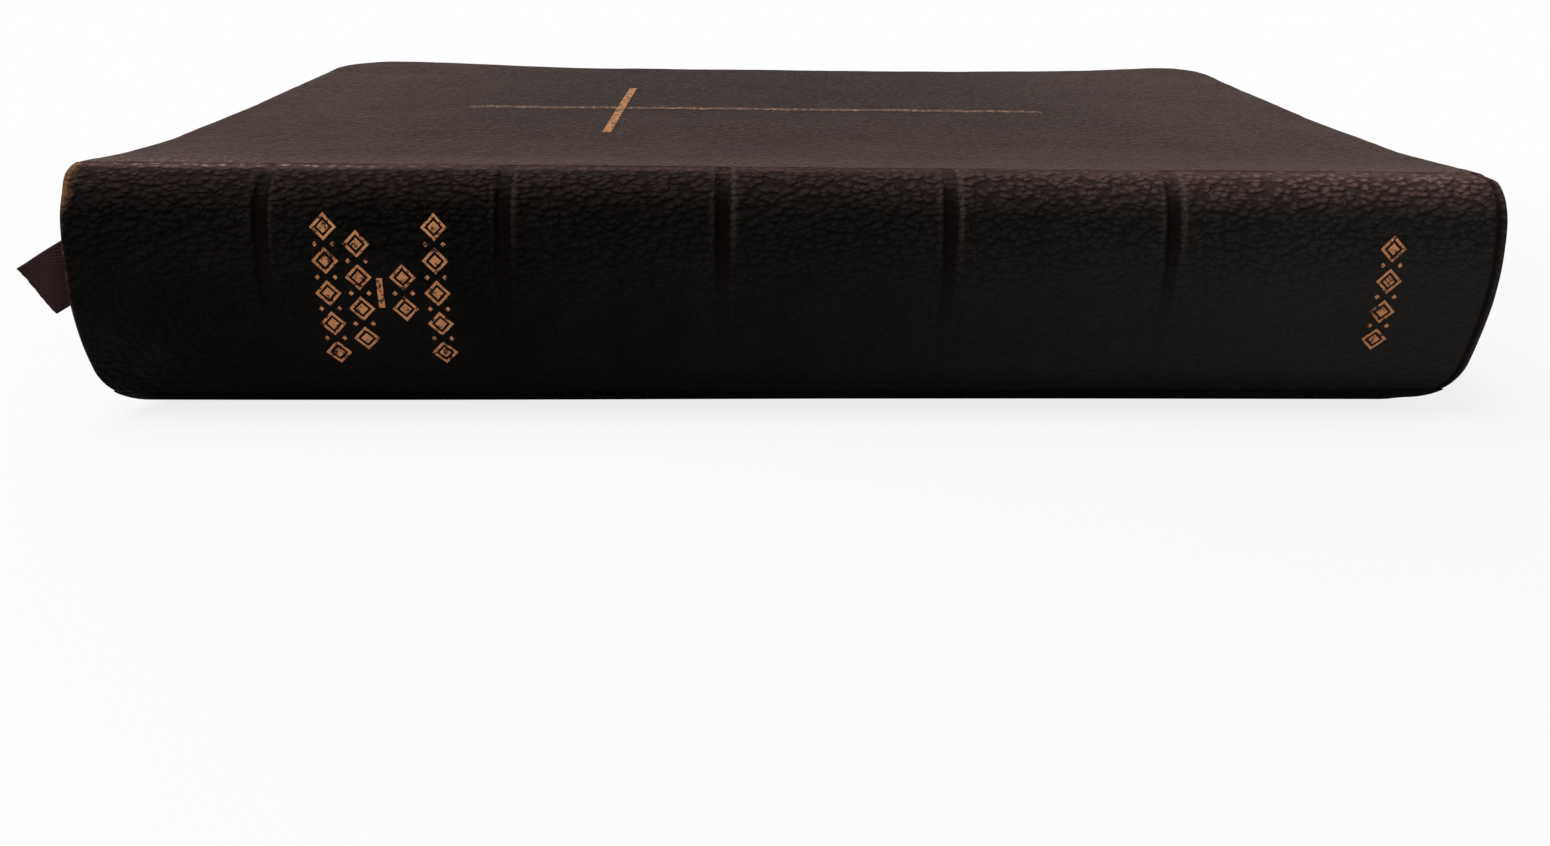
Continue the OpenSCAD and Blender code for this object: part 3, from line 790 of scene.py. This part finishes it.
def mark_wear(slab, plan):
    """Marks a cover: worn at its rim, grained near the spine, rubbed and given painted sheen there and at its
    ends.
    """
    worn = slab.verts.layers.float.new("wear")
    coarse = slab.verts.layers.float.new("coarse")
    rubbed = slab.verts.layers.float.new("rubbed")
    for vert in slab.verts:
        x, y, _ = vert[plan]
        reach = max(abs(vert.co.x) - half_length(min(vert.co.y, FORE_Y), WORN_W, CORNER_R - WORN_W),
                    vert.co.y - (FORE_Y - WORN_W))
        vert[worn] = 0.4 * smooth(0.0, 0.0014, reach)
        vert[coarse] = JOINT_GRAIN * (1 - smooth(SEAM_Y + 0.001, SEAM_Y + 0.014, y))
        # Paler near the spine and at the ends: handling, and painted sheen
        vert[rubbed] = max(0.88 - 0.88 * smooth(SEAM_Y, 0.02, y), 1.15 * smooth(0.02, HALF_L, abs(x)))


slab, plan = plate(SEAM_Y, 0.0, CORNER_R, front_top,
                   lambda x, y: front_top(x, y) - board_thickness(y), COVER_T / 2, 190, 108)
# At the joint the cover meets the swollen head cap and the drawn-in tail
HEAD_SHIFT = 0.0008
TAIL_SHIFT = 0.0006
for vert in slab.verts:
    near = smooth(-0.036, SEAM_Y, vert.co.y) * smooth(0.055, HALF_L, abs(vert.co.x))
    vert.co.x -= (HEAD_SHIFT if vert.co.x < 0 else TAIL_SHIFT) * near
mark_wear(slab, plan)
front_skin = close_piece(slab, "front_skin", cover_leather)
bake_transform(front_skin)
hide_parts("front_cover_leather")

INSIDE = 0.0003
BOARD_EDGE = 0.0002
slab, plan = plate(BOARD_Y, LEATHER_T + BOARD_EDGE, CORNER_R - LEATHER_T,
                   lambda x, y: front_top(x, y) - LEATHER_T,
                   lambda x, y: front_top(x, y) - COVER_T + INSIDE, BOARD_EDGE, 90, 60)
front_board = close_piece(slab, "front_card", card, "front_cover")
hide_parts("front_board")

PAPER_T = 0.00015
PAPER_EDGE = 0.00004
MARGIN = 0.004
slab, plan = plate(BOARD_Y, MARGIN, CORNER_R - MARGIN,
                   lambda x, y: front_top(x, y) - COVER_T + PAPER_T / 3,
                   lambda x, y: front_top(x, y) - COVER_T - PAPER_T, PAPER_EDGE, 90, 60)
front_pastedown = close_piece(slab, "front_endpaper", endpaper, "front_cover")
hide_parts("front_pastedown")


# Cross.
# A plain cross of two single lines, struck in gold leaf on the front cover. The long line is
# broader and has lost more of its gold.
CROSS_X = 0.0292 - HALF_L
CROSS_L = 0.0776
CROSS_W = 0.037
CROSS_ARM = 0.0203
CROSS_LINE = 0.00125


def strike_line(foil, middle, length, width, columns, rows):
    """A straight line in the plane of the cover. Gives its points."""
    place = Matrix.Translation((middle, 0, 0)) @ Matrix.Diagonal((length, width, 1, 1))
    return bmesh.ops.create_grid(foil, x_segments=columns, y_segments=rows, size=0.5, matrix=place)["verts"]


foil = bmesh.new()
lost_gold = foil.verts.layers.float.new("wear")
strike_line(foil, CROSS_X + CROSS_L / 2, CROSS_L, 1.4 * CROSS_LINE, 200, 3)
arm = set(strike_line(foil, CROSS_X + CROSS_ARM, 0.85 * CROSS_LINE, CROSS_W, 3, 96))
for vert in foil.verts:
    x, y, _ = vert.co
    vert.co.z = front_top(x, y) + FOIL_T * (1.6 if vert in arm else 1.0)
    vert[lost_gold] = 0.03 if vert in arm else 0.14
cross = close_piece(foil, "cross_gold", gilt, "front_cover")
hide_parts("gilt_cross")


# Back cover leather.
# The same leather carried round the lower shoulder and under the book, rolled round its board.
BACK_COLUMNS = 150
SHOULDER_ROWS = 10
SHOULDER_INSET = 0.0003


def back_draw(x, y):
    """Distance that the back cover's ends draw in towards the shoulder."""
    return -end_reach(x, 0.0) * (1 - smooth(shoulder_y, BOARD_Y - 0.0008, y)) * end_share(x)


slab, plan = plate(shoulder_y, 0.0, CORNER_R,
                   lambda x, y: board_thickness(y), lambda x, y: 0.0, COVER_T / 2, BACK_COLUMNS, 90)
for vert in slab.verts:
    vert.co.x -= math.copysign(1.0, vert.co.x) * back_draw(vert.co.x, vert.co.y)
mark_wear(slab, plan)
# The leather round the shoulder: its outer face down to the foot, then its inner face back up
strip, numbers = grid_sheet(BACK_COLUMNS, 2 * SHOULDER_ROWS + 3)
strip_coarse = strip.verts.layers.float.new("coarse")
for vert in strip.verts:
    column, row, _ = vert[numbers]
    k = row if row <= SHOULDER_ROWS else max(2 * SHOULDER_ROWS + 1 - row, 0)
    s = SPLIT + (WRAP - SPLIT) * k / SHOULDER_ROWS
    inside = SHOULDER_ROWS < row < 2 * SHOULDER_ROWS + 3
    x = (2 * column / BACK_COLUMNS - 1) * (HALF_L - SHOULDER_INSET)
    vert.co = spine_point(x, s, LEATHER_T if inside else 0.0, False)
    vert[strip_coarse] = 1 - 0.8 * smooth(SPLIT, WRAP, s)
strip_mesh = bpy.data.meshes.new("shoulder")
strip.to_mesh(strip_mesh)
strip.free()
slab.from_mesh(strip_mesh)
bpy.data.meshes.remove(strip_mesh)
back_skin = close_piece(slab, "back_skin", cover_leather)
split_y, split_z = wrap_point(SPLIT, 0.0)
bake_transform(back_skin)
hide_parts("back_cover_leather")


# Ribbon marker.
# A woven maroon ribbon glued down the back. Its worn end stands out at the head, droops and
# waves a little, and is cut on the slant.
RIBBON_W = 0.0055
RIBBON_OUT = 0.0084
RIBBON_TURN = math.radians(30)
RIBBON_Z = 0.0169
RIBBON_T = 0.00025
RIBBON_SLANT = 0.0003
RIBBON_GLUED = 0.028
PAGE_END = 0.069
PAGE_BACK_R = 0.02385

ribbon_cloth, tree, shader = finish_named("ribbon", Roughness=0.7, Specular_IOR_Level=0.03)
place = socketed(tree, "ShaderNodeTexCoord")
warp = socketed(tree, "ShaderNodeTexWave", {
    "Vector": place.outputs["Object"], "Scale": 1000.0, "Distortion": 0.6}, bands_direction="Z")
weft = socketed(tree, "ShaderNodeTexWave", {
    "Vector": place.outputs["Object"], "Scale": 1250.0, "Distortion": 0.6}, bands_direction="X")
weave = product(tree, warp.outputs["Fac"], weft.outputs["Fac"], "ADD")
tone_shift = mixed(tree, grained(tree, 400, 4.0), (0.0145, 0.0074, 0.0067, 1), (0.03, 0.0155, 0.0143, 1))
tree.links.new(mixed(tree, product(tree, weave, 0.35), tone_shift, (0.04, 0.0215, 0.0195, 1)),
               shader.inputs["Base Color"])
embossed(tree, shader, weave, 0.6, 0.00008)

RIBBON_COLUMNS = 90
RIBBON_ROWS = 20
band, numbers = grid_sheet(RIBBON_COLUMNS, RIBBON_ROWS)
for vert in band.verts:
    column, row, _ = vert[numbers]
    across = row / RIBBON_ROWS - 0.5
    fray = 0.00014 * noise.noise(Vector((row * 1.7, 3.1, 0.2)))
    length = RIBBON_GLUED + RIBBON_OUT + RIBBON_SLANT * across + fray
    run = RIBBON_GLUED - length * column / RIBBON_COLUMNS
    out = max(-run, 0.0)
    turned = RIBBON_TURN * smooth(0.0, 0.003, out)
    beside = across * RIBBON_W
    x = -PAGE_END + max(run, 0.0) - out * math.cos(turned) - beside * math.sin(turned)
    z = RIBBON_Z - max(out - 0.0012, 0.0) * math.sin(turned) + beside * math.cos(turned)
    wave = 0.0009 * noise.noise(Vector((x * 260, z * 160, 0.7))) - 0.0006 * math.sin(out * 280)
    lean = wave * min(out * 240, 1)
    y = back_y - math.sqrt((PAGE_BACK_R - RIBBON_T / 2) ** 2 - (z - back_z) ** 2) + lean
    vert.co = (x, y, z)
ribbon = close_piece(band, "ribbon_band", ribbon_cloth, "block")
thickness = ribbon.modifiers.new("thickness", "SOLIDIFY")
thickness.thickness = RIBBON_T
thickness.offset = 0.0
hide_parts("ribbon_marker")


# Floor, lights and white surround.
# A pale floor just under the book, a broad soft light above it on the head side, and a white
# surround that only the camera and reflections see at full strength.
FLOOR_Z = -0.0001
FLOOR_SIZE = 3.0
floor_mesh = bpy.data.meshes.new("floor")
ground = bmesh.new()
bmesh.ops.create_grid(ground, x_segments=1, y_segments=1, size=FLOOR_SIZE,
                      matrix=Matrix.Translation((0, 0, FLOOR_Z)))
ground.to_mesh(floor_mesh)
ground.free()
floor = bpy.data.objects.new("floor", floor_mesh)
bpy.context.collection.objects.link(floor)
pale, tree, shader = finish_named("floor", Roughness=0.9, Base_Color=(0.82, 0.82, 0.82, 1),
                                  Specular_IOR_Level=0.0)
place = socketed(tree, "ShaderNodeTexCoord")
away = socketed(tree, "ShaderNodeVectorMath", {0: place.outputs["Object"]}, operation="LENGTH")
ray = socketed(tree, "ShaderNodeLightPath")
shown = product(tree, ray.outputs["Is Camera Ray"], ramped(tree, away.outputs["Value"], 0.08, 0.2, 0.82, 1.0))
white = socketed(tree, "ShaderNodeEmission", {"Strength": 1.0})
blend = socketed(tree, "ShaderNodeMixShader", {0: shown, 1: shader.outputs[0], 2: white.outputs[0]})
tree.links.new(blend.outputs[0], tree.nodes["Material Output"].inputs["Surface"])
floor_mesh.materials.append(pale)

world = bpy.data.worlds.new("surround")
bpy.context.scene.world = world
world.use_nodes = True
tree = world.node_tree
ray = socketed(tree, "ShaderNodeLightPath")
seen = product(tree, ray.outputs["Is Camera Ray"], ray.outputs["Is Glossy Ray"], "MAXIMUM")
strength = socketed(tree, "ShaderNodeMapRange", {"Value": seen, "To Min": 0.3, "To Max": 1.0})
tree.links.new(strength.outputs["Result"], tree.nodes["Background"].inputs["Strength"])
tree.nodes["Background"].inputs["Color"].default_value = (1, 1, 1, 1)


def soft_light(name, place, target, size, power):
    """An area light turned to a target."""
    data = bpy.data.lights.new(name, "AREA")
    data.shape = "RECTANGLE"
    data.size, data.size_y = size
    data.energy = power
    lamp = bpy.data.objects.new(name, data)
    lamp.matrix_world = Matrix.Translation(place) @ (
        (Vector(target) - Vector(place)).to_track_quat("-Z", "Y").to_matrix().to_4x4())
    bpy.context.collection.objects.link(lamp)


soft_light("overhead", (-0.2, -0.06, 0.56), (0, 0, 0), (0.5, 0.4), 3.3)
